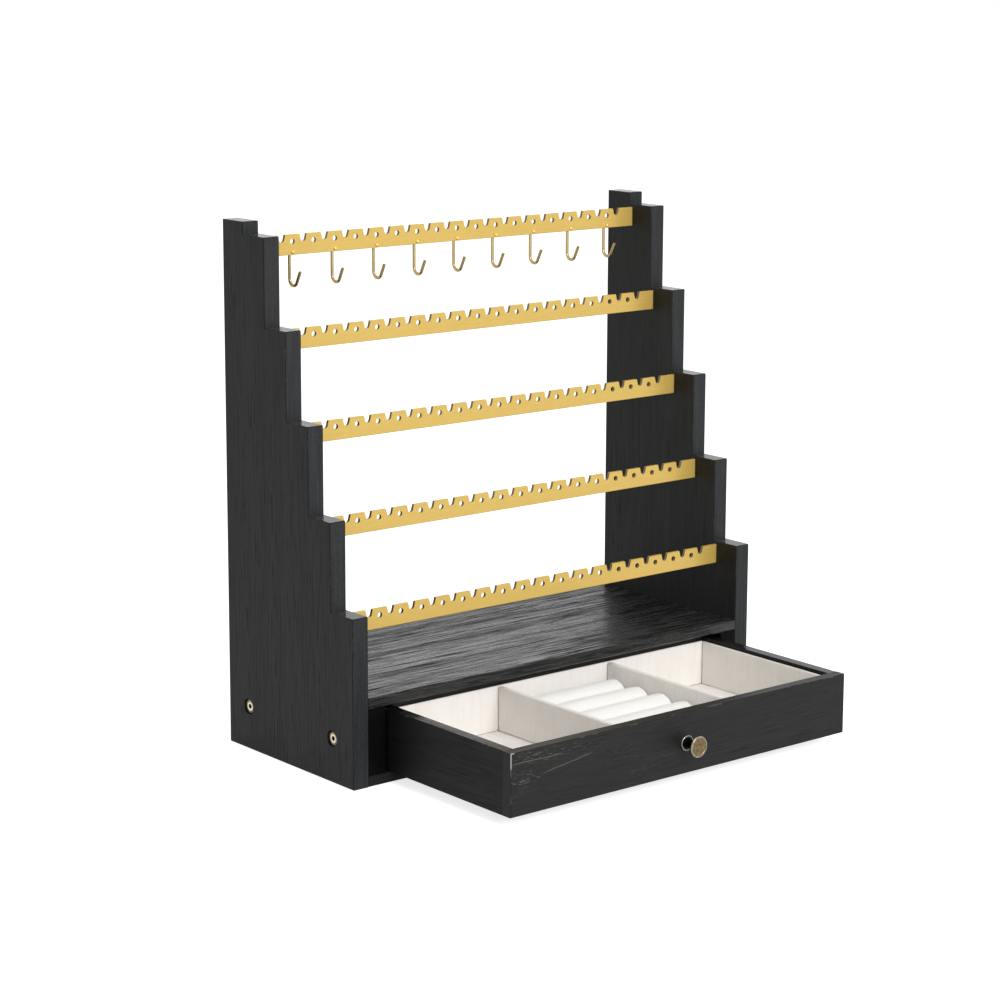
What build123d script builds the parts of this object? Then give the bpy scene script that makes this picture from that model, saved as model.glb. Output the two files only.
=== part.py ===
"""Tabletop jewelry organizer: two stepped side panels carry five notched bars over a drawer box.

Millimetres, +Z up, front towards -Y. The origin is the centre of the base's footprint on the table.
The drawer is drawn pulled out, which is its rest position.
"""
import os
from math import cos, floor, radians, sin, tan

from build123d import *

os.makedirs("parts", exist_ok=True)

# Side panels
stand_width = 335.0
panel_thickness = 12.0
step_depth = 22.5
step_count = 6
front_tread_height = 108.0
step_rise = 56.0
top_block_rise = 8.0
edge_ease = 0.5

# Notched bars
bar_height = 13.0
bar_thickness = 2.0
bar_edge_ease = 0.3
bar_below_tread = 2.0
bar_ahead_of_riser = 3.0
bar_tongue = 4.0
bar_end_clearance = 0.3
bar_slot_clearance = 0.1
notch_pitch = 16.5
notch_angle = 28.0
notch_depth = 4.8
notch_root_radius = 2.0
bar_plain_end = 14.0
earring_hole_diameter = 3.5
earring_hole_drop = 4.5

# Necklace hooks on the top bar
hook_wire = 2.0
hook_peg_height = 1.9
hook_hole_clearance = 0.1
hook_shoulder_radius = 1.4
hook_stem = 15.8
hook_curl_radius = 4.2
hook_curl_angle = 153.0
hook_tip = 8.0
hook_bead_radius = 1.3
holes_per_hook = 2

# Drawer box
box_wall_thickness = 13.0
box_bottom_thickness = 7.0
shelf_thickness = 7.0
opening_height = 42.5
box_back_thickness = 3.0

# Bolts through the side panels into the box walls
bolt_height = 28.0
bolt_inset = 22.0
bolt_diameter = 5.0
bolt_hole_clearance = 0.3
bolt_head_diameter = 8.4
bolt_head_height = 2.0
bolt_head_recess = 1.0
bolt_pocket_clearance = 1.0
bolt_socket = 3.0
bolt_socket_depth = 1.3
bolt_reach = 8.0
thread_clearance = 0.1
insert_diameter = 8.0
insert_length = 10.0
insert_clearance = 0.05

# Drawer
drawer_pull = 118.0
drawer_side_clearance = 2.5
drawer_top_clearance = 2.8
drawer_running_clearance = 0.3
drawer_back_clearance = 1.0
drawer_wall = 7.5
drawer_back_thickness = 5.0
drawer_bottom_thickness = 3.0
drawer_bottom_recess = 2.0
groove_depth = 3.0
groove_clearance = 0.1

# Velvet liner and ring rolls
liner_thickness = 1.5
liner_floor_thickness = 2.0
liner_drop = 2.4
divider_thickness = 3.5
divider_top_radius = 1.2
middle_compartment_width = 89.5
ring_roll_count = 5
ring_roll_gap = 0.3
ring_roll_margin = 1.5
ring_roll_end_radius = 3.0
ring_roll_flat = 0.5

# Knob
knob_face_diameter = 13.4
knob_face_thickness = 2.2
knob_rim = 1.0
knob_rim_relief = 0.4
knob_neck_diameter = 5.4
knob_foot_diameter = 7.0
knob_length = 10.4
rosette_diameter = 10.0
rosette_thickness = 1.6
rosette_rim_radius = 0.6
knob_screw_diameter = 4.0
knob_screw_head_diameter = 7.6
knob_screw_head_height = 2.2
knob_screw_reach = 6.0
screw_hole_clearance = 0.2

# Heights and depths that follow from the sizes above
stand_depth = step_depth * step_count
front_y = -stand_depth / 2
back_y = stand_depth / 2
inner_width = stand_width - 2 * panel_thickness
inner_x = inner_width / 2
tread_heights = [front_tread_height + i * step_rise for i in range(step_count - 1)]
tread_heights.append(tread_heights[-1] + top_block_rise)
opening_bottom = box_bottom_thickness
opening_top = opening_bottom + opening_height
box_top = opening_top + shelf_thickness
box_inner_x = inner_x - box_wall_thickness
boards_depth = stand_depth - box_back_thickness
boards_mid_y = front_y + boards_depth / 2
bolt_ys = (front_y + bolt_inset, back_y - bolt_inset)

# Bars run from the front tread upwards, and are numbered from the top
bar_count = step_count - 1
bar_bottoms = [tread - bar_below_tread - bar_height for tread in tread_heights[:bar_count]]
bar_fronts = [front_y + (i + 1) * step_depth - bar_ahead_of_riser for i in range(bar_count)]
notch_count = floor((inner_width - 2 * bar_plain_end) / notch_pitch) + 1
notch_xs = [(i - (notch_count - 1) / 2) * notch_pitch for i in range(notch_count)]
hole_xs = [x + notch_pitch / 2 for x in notch_xs[:-1]]
hook_xs = hole_xs[::holes_per_hook]
hook_hole_radius = hook_wire / 2 + hook_hole_clearance

# Half of a notch, from its middle: the flank leaves the round root at a tangent and ends at the mouth
notch_flank = radians(notch_angle / 2)
notch_tangent_x = notch_root_radius * cos(notch_flank)
notch_tangent_depth = notch_depth - notch_root_radius * (1 - sin(notch_flank))
notch_mouth_half = notch_tangent_x + notch_tangent_depth * tan(notch_flank)

# Drawer places, at rest
drawer_half = box_inner_x - drawer_side_clearance
drawer_inner_half = drawer_half - drawer_wall
drawer_depth = boards_depth - drawer_back_clearance
drawer_front_y = front_y - drawer_pull
drawer_rear_y = drawer_front_y + drawer_depth
drawer_front_inner_y = drawer_front_y + drawer_wall
drawer_back_inner_y = drawer_rear_y - drawer_back_thickness
drawer_low = opening_bottom + drawer_running_clearance
drawer_height = opening_height - drawer_running_clearance - drawer_top_clearance
drawer_high = drawer_low + drawer_height
drawer_side_mid_y = (drawer_front_inner_y + drawer_rear_y) / 2
drawer_well_mid_y = (drawer_front_inner_y + drawer_back_inner_y) / 2
drawer_well_depth = drawer_back_inner_y - drawer_front_inner_y
drawer_floor_low = drawer_low + drawer_bottom_recess
drawer_floor_high = drawer_floor_low + drawer_bottom_thickness
liner_low = drawer_floor_high
liner_floor_high = liner_low + liner_floor_thickness
liner_high = drawer_high - liner_drop
liner_depth = drawer_well_depth - 2 * liner_thickness
knob_z = drawer_low + drawer_height / 2


def save(piece, name):
    """Label a finished piece and write it under its own name."""
    piece.part.label = name
    export_step(piece.part, f"parts/{name}.step")


def side_profile():
    """Corner points of a side panel, seen from the side, with its step noses eased."""
    points = [(back_y, 0), (front_y, 0)]
    for i, tread in enumerate(tread_heights):
        nose_y = front_y + i * step_depth
        points.append((nose_y, tread - edge_ease))
        points.append((nose_y + edge_ease, tread))
        if i + 1 < step_count:
            points.append((nose_y + step_depth, tread))
    points.append((back_y, tread_heights[-1]))
    return points


# Side panels, with a blind slot for each bar and a counterbored hole for each bolt
for name, side in (("left_side_panel", -1), ("right_side_panel", 1)):
    outer_x = side * stand_width / 2
    slot_mid_x = side * (inner_x + (bar_tongue + bar_end_clearance) / 2)
    with BuildPart() as side_panel:
        with BuildSketch(Plane.YZ.offset(min(side * inner_x, outer_x))):
            with BuildLine():
                Polyline(*side_profile(), close=True)
            make_face()
        extrude(amount=panel_thickness)
        chamfer(side_panel.faces().filter_by(Axis.X).edges(), length=edge_ease)
        for bar_front, bar_bottom in zip(bar_fronts, bar_bottoms):
            slot_height = bar_height + bar_slot_clearance
            with Locations((slot_mid_x, bar_front + bar_thickness / 2, bar_bottom + slot_height / 2)):
                Box(
                    bar_tongue + bar_end_clearance,
                    bar_thickness + 2 * bar_slot_clearance,
                    slot_height,
                    mode=Mode.SUBTRACT,
                )
        with Locations(*[Plane((outer_x, y, bolt_height), z_dir=(side, 0, 0)) for y in bolt_ys]):
            CounterBoreHole(
                radius=bolt_diameter / 2 + bolt_hole_clearance,
                counter_bore_radius=bolt_head_diameter / 2 + bolt_pocket_clearance,
                counter_bore_depth=bolt_head_recess + bolt_head_height,
                depth=panel_thickness,
            )
    save(side_panel, name)

# Shelf, which is also the top of the drawer box
with BuildPart() as shelf:
    with BuildSketch(Plane.XY.offset(opening_top)):
        with Locations((0, boards_mid_y)):
            Rectangle(inner_width, boards_depth)
    extrude(amount=shelf_thickness)
    chamfer(shelf.edges().filter_by(Axis.X).group_by(Axis.Y)[0], length=edge_ease)
save(shelf, "shelf")

# Bottom board of the drawer box
with BuildPart() as box_bottom:
    with BuildSketch():
        with Locations((0, boards_mid_y)):
            Rectangle(inner_width, boards_depth)
    extrude(amount=box_bottom_thickness)
    chamfer(box_bottom.edges().filter_by(Axis.X).group_by(Axis.Y)[0], length=edge_ease)
save(box_bottom, "box_bottom")

# Back board of the drawer box
with BuildPart() as box_back:
    with BuildSketch():
        with Locations((0, back_y - box_back_thickness / 2)):
            Rectangle(inner_width, box_back_thickness)
    extrude(amount=box_top)
save(box_back, "box_back")

# Walls of the drawer box, bored for the threaded inserts
for name, side in (("box_left_wall", -1), ("box_right_wall", 1)):
    with BuildPart() as box_wall:
        with BuildSketch(Plane.XY.offset(opening_bottom)):
            with Locations((side * (inner_x - box_wall_thickness / 2), boards_mid_y)):
                Rectangle(box_wall_thickness, boards_depth)
        extrude(amount=opening_height)
        nose_edge = box_wall.edges().filter_by(Axis.Z).group_by(Axis.Y)[0].sort_by(Axis.X)
        chamfer(nose_edge[-1] if side < 0 else nose_edge[0], length=edge_ease)
        with Locations(*[Plane((side * inner_x, y, bolt_height), z_dir=(side, 0, 0)) for y in bolt_ys]):
            Hole(radius=insert_diameter / 2 + insert_clearance, depth=insert_length)
    save(box_wall, name)

# Notched bars, the top one drilled for the hook wires as well
for number in range(1, bar_count + 1):
    level = bar_count - number
    bar_top = bar_bottoms[level] + bar_height
    notch_tangent_z = bar_top - notch_tangent_depth
    with BuildPart() as earring_bar:
        with BuildSketch(Plane.XZ.offset(-bar_fronts[level] - bar_thickness)):
            with Locations((0, bar_bottoms[level] + bar_height / 2)):
                Rectangle(inner_width + 2 * bar_tongue, bar_height)
            for x in notch_xs:
                with BuildLine():
                    Polyline(
                        (x - notch_tangent_x, notch_tangent_z),
                        (x - notch_mouth_half, bar_top),
                        (x + notch_mouth_half, bar_top),
                        (x + notch_tangent_x, notch_tangent_z),
                    )
                    ThreePointArc(
                        (x - notch_tangent_x, notch_tangent_z),
                        (x, bar_top - notch_depth),
                        (x + notch_tangent_x, notch_tangent_z),
                    )
                make_face(mode=Mode.SUBTRACT)
            with Locations(*[(x, bar_top - earring_hole_drop) for x in hole_xs]):
                Circle(earring_hole_diameter / 2, mode=Mode.SUBTRACT)
            if number == 1:
                with Locations(*[(x, bar_bottoms[level] + hook_peg_height) for x in hook_xs]):
                    Circle(hook_hole_radius, mode=Mode.SUBTRACT)
        extrude(amount=bar_thickness)
        chamfer(earring_bar.edges().filter_by(Axis.X).group_by(Axis.Z)[0], length=bar_edge_ease)
    save(earring_bar, f"earring_bar_{number}")

# Necklace hooks: a bead on the bar's face, a peg through it, a stem behind it and a curl under it
hook_bar_front = bar_fronts[-1]
hook_bar_back = hook_bar_front + bar_thickness
peg_z = bar_bottoms[-1] + hook_peg_height
shoulder_y = hook_bar_back + hook_hole_clearance
stem_y = shoulder_y + hook_shoulder_radius
stem_low = peg_z - hook_shoulder_radius - hook_stem
curl_end = (
    stem_y - hook_curl_radius * (1 - cos(radians(hook_curl_angle))),
    stem_low - hook_curl_radius * sin(radians(hook_curl_angle)),
)
tip_direction = (-sin(radians(hook_curl_angle)), -cos(radians(hook_curl_angle)))
for number, x in enumerate(hook_xs, start=1):
    with BuildPart() as necklace_hook:
        with BuildLine(Plane.YZ.offset(x)):
            peg = Line((hook_bar_front, peg_z), (shoulder_y, peg_z))
            shoulder = RadiusArc(peg @ 1, (stem_y, peg_z - hook_shoulder_radius), hook_shoulder_radius)
            stem = Line(shoulder @ 1, (stem_y, stem_low))
            curl = TangentArc(stem @ 1, Vector(x, *curl_end), tangent=stem % 1)
            Line(curl @ 1, (curl_end[0] + hook_tip * tip_direction[0], curl_end[1] + hook_tip * tip_direction[1]))
        with BuildSketch(Plane((x, hook_bar_front, peg_z), z_dir=(0, 1, 0))):
            Circle(hook_wire / 2)
        sweep()
        with BuildSketch(Plane.YZ.offset(x)):
            with BuildLine():
                Line((hook_bar_front - hook_bead_radius, peg_z), (hook_bar_front, peg_z))
                Line((hook_bar_front, peg_z), (hook_bar_front, peg_z + hook_bead_radius))
                RadiusArc(
                    (hook_bar_front, peg_z + hook_bead_radius),
                    (hook_bar_front - hook_bead_radius, peg_z),
                    -hook_bead_radius,
                )
            make_face()
        revolve(axis=Axis((x, hook_bar_front, peg_z), (0, 1, 0)))
    save(necklace_hook, f"necklace_hook_{number}")

# Bolts, each a round head with a hex socket and a shank that ends inside its insert
bolt_head_face = bolt_head_recess
bolt_seat = bolt_head_face + bolt_head_height
bolt_planes = [
    Plane((side * (stand_width / 2 - bolt_head_face), y, bolt_height), z_dir=(side, 0, 0))
    for side in (-1, 1)
    for y in bolt_ys
]
with BuildPart() as side_bolts:
    for bolt_plane in bolt_planes:
        with BuildSketch(bolt_plane):
            Circle(bolt_head_diameter / 2)
            RegularPolygon(bolt_socket / 2, 6, major_radius=False, mode=Mode.SUBTRACT)
        extrude(amount=-bolt_socket_depth)
        with BuildSketch(bolt_plane.offset(-bolt_socket_depth)):
            Circle(bolt_head_diameter / 2)
        extrude(amount=bolt_socket_depth - bolt_head_height)
        with BuildSketch(bolt_plane.offset(-bolt_head_height)):
            Circle(bolt_diameter / 2)
        extrude(amount=-(panel_thickness - bolt_seat + bolt_reach))
save(side_bolts, "side_bolts")

# Threaded inserts in the box walls
with BuildPart() as threaded_inserts:
    for side in (-1, 1):
        for y in bolt_ys:
            with BuildSketch(Plane((side * inner_x, y, bolt_height), z_dir=(side, 0, 0))):
                Circle(insert_diameter / 2)
                Circle(bolt_diameter / 2 + thread_clearance, mode=Mode.SUBTRACT)
            extrude(amount=-insert_length)
save(threaded_inserts, "threaded_inserts")

# Space that the drawer's bottom board is let into, cut out of each of its walls
with BuildPart() as bottom_groove:
    with BuildSketch(Plane.XY.offset(drawer_floor_low)):
        with Locations((0, drawer_well_mid_y)):
            Rectangle(2 * (drawer_inner_half + groove_depth), drawer_well_depth + 2 * groove_depth)
    extrude(amount=drawer_bottom_thickness + groove_clearance)

# Drawer front, bored from behind for the knob's screw
with BuildPart() as drawer_front:
    with BuildSketch(Plane.XY.offset(drawer_low)):
        with Locations((0, drawer_front_y + drawer_wall / 2)):
            Rectangle(2 * drawer_half, drawer_wall)
    extrude(amount=drawer_height)
    chamfer(drawer_front.faces().sort_by(Axis.Y)[0].edges(), length=edge_ease)
    add(bottom_groove.part, mode=Mode.SUBTRACT)
    with Locations(Plane((0, drawer_front_inner_y, knob_z), z_dir=(0, 1, 0))):
        CounterBoreHole(
            radius=knob_screw_diameter / 2 + screw_hole_clearance,
            counter_bore_radius=knob_screw_head_diameter / 2 + screw_hole_clearance,
            counter_bore_depth=knob_screw_head_height,
            depth=drawer_wall,
        )
save(drawer_front, "drawer_front")

# Drawer sides, from the front board to the rear
for name, side in (("drawer_left_side", -1), ("drawer_right_side", 1)):
    with BuildPart() as drawer_side:
        with BuildSketch(Plane.XY.offset(drawer_low)):
            with Locations((side * (drawer_half - drawer_wall / 2), drawer_side_mid_y)):
                Rectangle(drawer_wall, drawer_rear_y - drawer_front_inner_y)
        extrude(amount=drawer_height)
        top_edges = drawer_side.edges().filter_by(Axis.Y).group_by(Axis.Z)[-1].sort_by(Axis.X)
        chamfer(top_edges[0] if side < 0 else top_edges[-1], length=edge_ease)
        add(bottom_groove.part, mode=Mode.SUBTRACT)
    save(drawer_side, name)

# Drawer back, between the sides
with BuildPart() as drawer_back:
    with BuildSketch(Plane.XY.offset(drawer_low)):
        with Locations((0, drawer_rear_y - drawer_back_thickness / 2)):
            Rectangle(2 * drawer_inner_half, drawer_back_thickness)
    extrude(amount=drawer_height)
    add(bottom_groove.part, mode=Mode.SUBTRACT)
save(drawer_back, "drawer_back")

# Drawer bottom, let into the grooves
with BuildPart() as drawer_bottom:
    with BuildSketch(Plane.XY.offset(drawer_floor_low)):
        with Locations((0, drawer_well_mid_y)):
            Rectangle(
                2 * (drawer_inner_half + groove_depth - groove_clearance),
                drawer_well_depth + 2 * (groove_depth - groove_clearance),
            )
    extrude(amount=drawer_bottom_thickness)
save(drawer_bottom, "drawer_bottom")

# Velvet-covered liner: floor, front and back strips, side strips between them
with BuildPart() as liner_floor:
    with BuildSketch(Plane.XY.offset(liner_low)):
        with Locations((0, drawer_well_mid_y)):
            Rectangle(2 * drawer_inner_half, drawer_well_depth)
    extrude(amount=liner_floor_thickness)
save(liner_floor, "liner_floor")

liner_strip_ys = {
    "liner_front": drawer_front_inner_y + liner_thickness / 2,
    "liner_back": drawer_back_inner_y - liner_thickness / 2,
}
for name, y in liner_strip_ys.items():
    with BuildPart() as liner_strip:
        with BuildSketch(Plane.XY.offset(liner_floor_high)):
            with Locations((0, y)):
                Rectangle(2 * drawer_inner_half, liner_thickness)
        extrude(amount=liner_high - liner_floor_high)
    save(liner_strip, name)

for name, side in (("liner_left", -1), ("liner_right", 1)):
    with BuildPart() as liner_side:
        with BuildSketch(Plane.XY.offset(liner_floor_high)):
            with Locations((side * (drawer_inner_half - liner_thickness / 2), drawer_well_mid_y)):
                Rectangle(liner_thickness, liner_depth)
        extrude(amount=liner_high - liner_floor_high)
    save(liner_side, name)

# Dividers either side of the middle compartment, their top edges rounded under the velvet
for name, side in (("left_divider", -1), ("right_divider", 1)):
    divider_x = side * (middle_compartment_width + divider_thickness) / 2
    with BuildPart() as divider:
        with BuildSketch(Plane.XY.offset(liner_floor_high)):
            with Locations((divider_x, drawer_well_mid_y)):
                Rectangle(divider_thickness, liner_depth)
        extrude(amount=liner_high - liner_floor_high)
        fillet(divider.edges().filter_by(Axis.Y).group_by(Axis.Z)[-1], radius=divider_top_radius)
    save(divider, name)

# Padded ring rolls side by side across the middle compartment
ring_roll_pitch = (liner_depth - 2 * ring_roll_margin) / ring_roll_count
ring_roll_start_y = drawer_front_inner_y + liner_thickness + ring_roll_margin
ring_roll_radius = (ring_roll_pitch - ring_roll_gap) / 2
ring_roll_axis_z = liner_floor_high + ring_roll_radius - ring_roll_flat
ring_roll_half = middle_compartment_width / 2 - ring_roll_gap
for number in range(1, ring_roll_count + 1):
    roll_y = ring_roll_start_y + (number - 0.5) * ring_roll_pitch
    with BuildPart() as ring_roll:
        with BuildSketch(Plane((0, roll_y, ring_roll_axis_z), x_dir=(1, 0, 0), z_dir=(0, -1, 0))):
            with Locations((0, ring_roll_radius / 2)):
                profile = Rectangle(2 * ring_roll_half, ring_roll_radius)
            fillet(profile.vertices().group_by(Axis.Y)[-1], radius=ring_roll_end_radius)
        revolve(axis=Axis((0, roll_y, ring_roll_axis_z), (1, 0, 0)))
        split(bisect_by=Plane.XY.offset(liner_floor_high), keep=Keep.TOP)
    save(ring_roll, f"ring_roll_{number}")

# Rosette behind the knob
with BuildPart() as knob_rosette:
    with BuildSketch(Plane((0, drawer_front_y, knob_z), z_dir=(0, -1, 0))):
        Circle(rosette_diameter / 2)
        Circle(knob_screw_diameter / 2 + screw_hole_clearance, mode=Mode.SUBTRACT)
    extrude(amount=rosette_thickness)
    rim = knob_rosette.faces().sort_by(Axis.Y)[0].edges().sort_by(SortBy.LENGTH)[-1]
    fillet(rim, radius=rosette_rim_radius)
save(knob_rosette, "knob_rosette")

# Knob, turned: a foot on the rosette, a waisted neck and a flat disc with a raised rim
foot_y = drawer_front_y - rosette_thickness
face_y = foot_y - knob_length
disc_back_y = face_y + knob_face_thickness
face_radius = knob_face_diameter / 2
foot_radius = knob_foot_diameter / 2
neck_radius = knob_neck_diameter / 2
neck_y = (foot_y + disc_back_y) / 2
tap_radius = knob_screw_diameter / 2 + thread_clearance
tap_end_y = foot_y - knob_screw_reach - thread_clearance
with BuildPart() as knob:
    with BuildSketch(Plane.YZ):
        with BuildLine():
            Polyline(
                (tap_end_y, knob_z),
                (tap_end_y, knob_z + tap_radius),
                (foot_y, knob_z + tap_radius),
                (foot_y, knob_z + foot_radius),
            )
            ThreePointArc(
                (foot_y, knob_z + foot_radius),
                (neck_y, knob_z + neck_radius),
                (disc_back_y, knob_z + foot_radius),
            )
            Polyline(
                (disc_back_y, knob_z + foot_radius),
                (disc_back_y, knob_z + face_radius - knob_rim),
                (disc_back_y - knob_rim, knob_z + face_radius),
                (face_y + knob_rim_relief, knob_z + face_radius),
                (face_y, knob_z + face_radius - knob_rim_relief),
                (face_y, knob_z + face_radius - knob_rim),
                (face_y + knob_rim_relief, knob_z + face_radius - knob_rim - knob_rim_relief),
                (face_y + knob_rim_relief, knob_z),
                (tap_end_y, knob_z),
            )
        make_face()
    revolve(axis=Axis((0, foot_y, knob_z), (0, 1, 0)))
save(knob, "knob")

# Screw that draws the knob on from inside the drawer
screw_seat_y = drawer_front_inner_y - knob_screw_head_height
with BuildPart() as knob_screw:
    with BuildSketch(Plane((0, screw_seat_y, knob_z), z_dir=(0, 1, 0))):
        Circle(knob_screw_head_diameter / 2)
    extrude(amount=knob_screw_head_height)
    with BuildSketch(Plane((0, screw_seat_y, knob_z), z_dir=(0, -1, 0))):
        Circle(knob_screw_diameter / 2)
    extrude(amount=screw_seat_y - foot_y + knob_screw_reach)
save(knob_screw, "knob_screw")
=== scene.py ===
"""Looks of the jewelry organizer: black wood, brushed gold bars, velvet-lined drawer and antique knob.

Lengths are in metres, and colours are linear: red, green, blue and an alpha of 1.
"""

from math import cos, pi, radians, sin, sqrt

import bmesh
import bpy
from mathutils import Matrix, Vector, noise


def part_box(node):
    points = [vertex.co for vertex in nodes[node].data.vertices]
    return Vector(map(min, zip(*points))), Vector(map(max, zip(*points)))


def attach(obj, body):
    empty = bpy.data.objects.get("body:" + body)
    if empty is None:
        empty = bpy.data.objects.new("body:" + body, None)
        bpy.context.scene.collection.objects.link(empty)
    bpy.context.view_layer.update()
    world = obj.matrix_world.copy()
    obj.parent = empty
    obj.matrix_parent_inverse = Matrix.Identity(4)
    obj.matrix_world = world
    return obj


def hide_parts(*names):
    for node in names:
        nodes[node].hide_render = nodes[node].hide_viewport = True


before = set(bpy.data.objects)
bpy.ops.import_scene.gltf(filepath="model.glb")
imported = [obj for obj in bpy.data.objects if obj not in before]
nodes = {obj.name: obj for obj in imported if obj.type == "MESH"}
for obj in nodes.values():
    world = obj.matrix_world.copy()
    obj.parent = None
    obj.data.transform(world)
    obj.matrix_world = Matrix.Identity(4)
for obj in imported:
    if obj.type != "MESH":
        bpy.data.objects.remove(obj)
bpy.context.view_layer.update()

X, Y, Z = 0, 1, 2

# Node helpers
MIX_COLOUR_A, MIX_COLOUR_B, MIX_COLOUR_OUT = 6, 7, 2
EDGE_LIMITS = (0.90, 0.80)      # a normal's largest component where an eased edge begins and is full
STAIN_TINT = (0.98, 1.0, 0.96)


def new_material(name):
    mat = bpy.data.materials.new(name)
    mat.use_nodes = True
    tree = mat.node_tree
    tree.nodes.clear()
    out = tree.nodes.new("ShaderNodeOutputMaterial")
    bsdf = tree.nodes.new("ShaderNodeBsdfPrincipled")
    tree.links.new(bsdf.outputs["BSDF"], out.inputs["Surface"])
    return mat, tree, bsdf


def node(tree, kind, inputs=None, **props):
    """A new node, with its properties set and its inputs linked to sockets or set to values."""
    made = tree.nodes.new(kind)
    for key, value in props.items():
        setattr(made, key, value)
    for key, value in (inputs or {}).items():
        if isinstance(value, bpy.types.NodeSocket):
            tree.links.new(value, made.inputs[key])
        else:
            made.inputs[key].default_value = value
    return made


def set_fixed(bsdf, fixed):
    """Sets the sockets that are the same all over the surface."""
    for socket, value in fixed.items():
        bsdf.inputs[socket].default_value = value


def connect(tree, bsdf, tone, roughness, normal, fixed):
    """Links what varies over the surface, and sets the rest."""
    for socket, value in (("Base Color", tone), ("Roughness", roughness), ("Normal", normal)):
        tree.links.new(value, bsdf.inputs[socket])
    set_fixed(bsdf, fixed)


def mapped(tree, scale, offset=(0, 0, 0)):
    """Object coordinates, scaled along each axis and moved by the offset."""
    place = node(tree, "ShaderNodeTexCoord").outputs["Object"]
    inputs = {"Vector": place, "Scale": scale, "Location": offset}
    return node(tree, "ShaderNodeMapping", inputs).outputs["Vector"]


def noise_of(tree, vector, scale=1.0, detail=3.0, rough=0.55, distortion=0.0):
    inputs = {
        "Vector": vector, "Scale": scale, "Detail": detail, "Roughness": rough, "Distortion": distortion}
    return node(tree, "ShaderNodeTexNoise", inputs).outputs["Fac"]


def ramp(tree, value, low, high, to_low=0.0, to_high=1.0):
    """Goes from to_low to to_high as the value goes from low to high, and stays there beyond."""
    inputs = {"Value": value, "From Min": low, "From Max": high, "To Min": to_low, "To Max": to_high}
    return node(tree, "ShaderNodeMapRange", inputs, clamp=True).outputs["Result"]


def fade(tree, value, start, end):
    """1 up to the start, and 0 from the end on."""
    return ramp(tree, value, start, end, 1.0, 0.0)


def between(tree, share, at_zero, at_one):
    """at_zero where the share is 0, and at_one where it is 1."""
    return ramp(tree, share, 0.0, 1.0, at_zero, at_one)


def math_of(tree, operation, a, b=0.5, clamp=False):
    return node(tree, "ShaderNodeMath", {0: a, 1: b}, operation=operation, use_clamp=clamp).outputs[0]


def plus(tree, a, b):
    return math_of(tree, "ADD", a, b)


def minus(tree, a, b, clamp=False):
    return math_of(tree, "SUBTRACT", a, b, clamp)


def times(tree, a, b):
    return math_of(tree, "MULTIPLY", a, b)


def larger(tree, a, b):
    return math_of(tree, "MAXIMUM", a, b)


def unsigned(tree, value):
    return math_of(tree, "ABSOLUTE", value)


def mix(tree, fac, a, b):
    """Colour a where the factor is 0, and colour b where it is 1."""
    inputs = {"Factor": fac, MIX_COLOUR_A: a, MIX_COLOUR_B: b}
    return node(tree, "ShaderNodeMix", inputs, data_type="RGBA").outputs[MIX_COLOUR_OUT]


def bump(tree, height, distance, strength=1.0):
    inputs = {"Height": height, "Distance": distance, "Strength": strength}
    return node(tree, "ShaderNodeBump", inputs).outputs["Normal"]


def grey(value):
    """The black stain's grey at a level."""
    return tuple(value * share for share in STAIN_TINT) + (1.0,)


def object_axes(tree):
    """The object coordinates x, y and z, as three values."""
    place = node(tree, "ShaderNodeTexCoord").outputs["Object"]
    return node(tree, "ShaderNodeSeparateXYZ", {0: place}).outputs


def facing_axes(tree):
    """The x, y and z of the direction that the face looks in, as three values."""
    normal = node(tree, "ShaderNodeNewGeometry").outputs["True Normal"]
    return node(tree, "ShaderNodeSeparateXYZ", {0: normal}).outputs


def eased_edge_mask(tree, facing):
    """1 on the eased edges, whose faces look along no single axis."""
    sizes = [unsigned(tree, part) for part in facing]
    largest = larger(tree, larger(tree, sizes[X], sizes[Y]), sizes[Z])
    return ramp(tree, largest, *EDGE_LIMITS)


def off_axis(tree, u, v, centre_u, centre_v):
    """Distance from an axis that crosses the plane of u and v at the centre."""
    du = minus(tree, u, centre_u)
    dv = minus(tree, v, centre_v)
    return math_of(tree, "SQRT", plus(tree, times(tree, du, du), times(tree, dv, dv)))


# Wood: its layers of noise, each with its scale across the grain, its scale along it, and an offset
FIGURE = (60, 3.0, 0.0)
FIBRES = (1150, 24, 3.1)
PORES = (900, 42, 7.7)
CLOUDS = (14, 5, 11.0)
LONG_LINES = (170, 2.4, 15.0)
GROWTH = (190, 3, 19.0)
SPECKS = (2300, 260, 21.0)
SPECK_AREAS = (30, 12, 31.0)
END_CELL_SCALE = 1300
SCUFF_AND_HIGHLIGHT_SCALE = 110
SEED_STEPS = (1.7, 2.3, 0.9)    # how far a seed moves the layers along each axis

FIBRE_RANGE = (0.34, 0.68)      # the limits between which the fibres' noise goes from dark to light
PORE_RANGE = 0.07               # the noise from a pore's edge to its middle
LINE_RANGE = 0.009              # the noise from a long line's middle to its edge
SQUARE_ON = (0.93, 0.98)        # the limits between which a face comes to look straight along an axis
STREAK_LIGHT = 2.2              # the broad bands, as a share of the light stain
PORE_DARK = 0.4                 # the pores, as a share of the dark stain
# painted shade on the eased edges, which mirror dark surroundings
EDGE_PAINTED_SHADE = 0.5                 # the eased edges, as a share of the dark stain
EDGE_SHADE_STRENGTH = 0.8
PLAIN_OFF_GROWTH = 0.35         # the pores' strength outside the growth marks
PLAIN_BEHIND_BAND = 0.7         # the pores' strength behind the front band
BAND_SMOOTHER = 0.03

MISSED_STAIN = (0.20, 0.20, 0.18, 1.0)
# pale spots on the eased edges, partly rubbed and partly a painted highlight
WORN_AND_HIGHLIT_EDGE = (0.16, 0.16, 0.155, 1.0)
# a painted highlight: the glint on the drawer front's eased upper left corner
PAINTED_GLINT = (0.34, 0.34, 0.34, 1.0)
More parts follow.
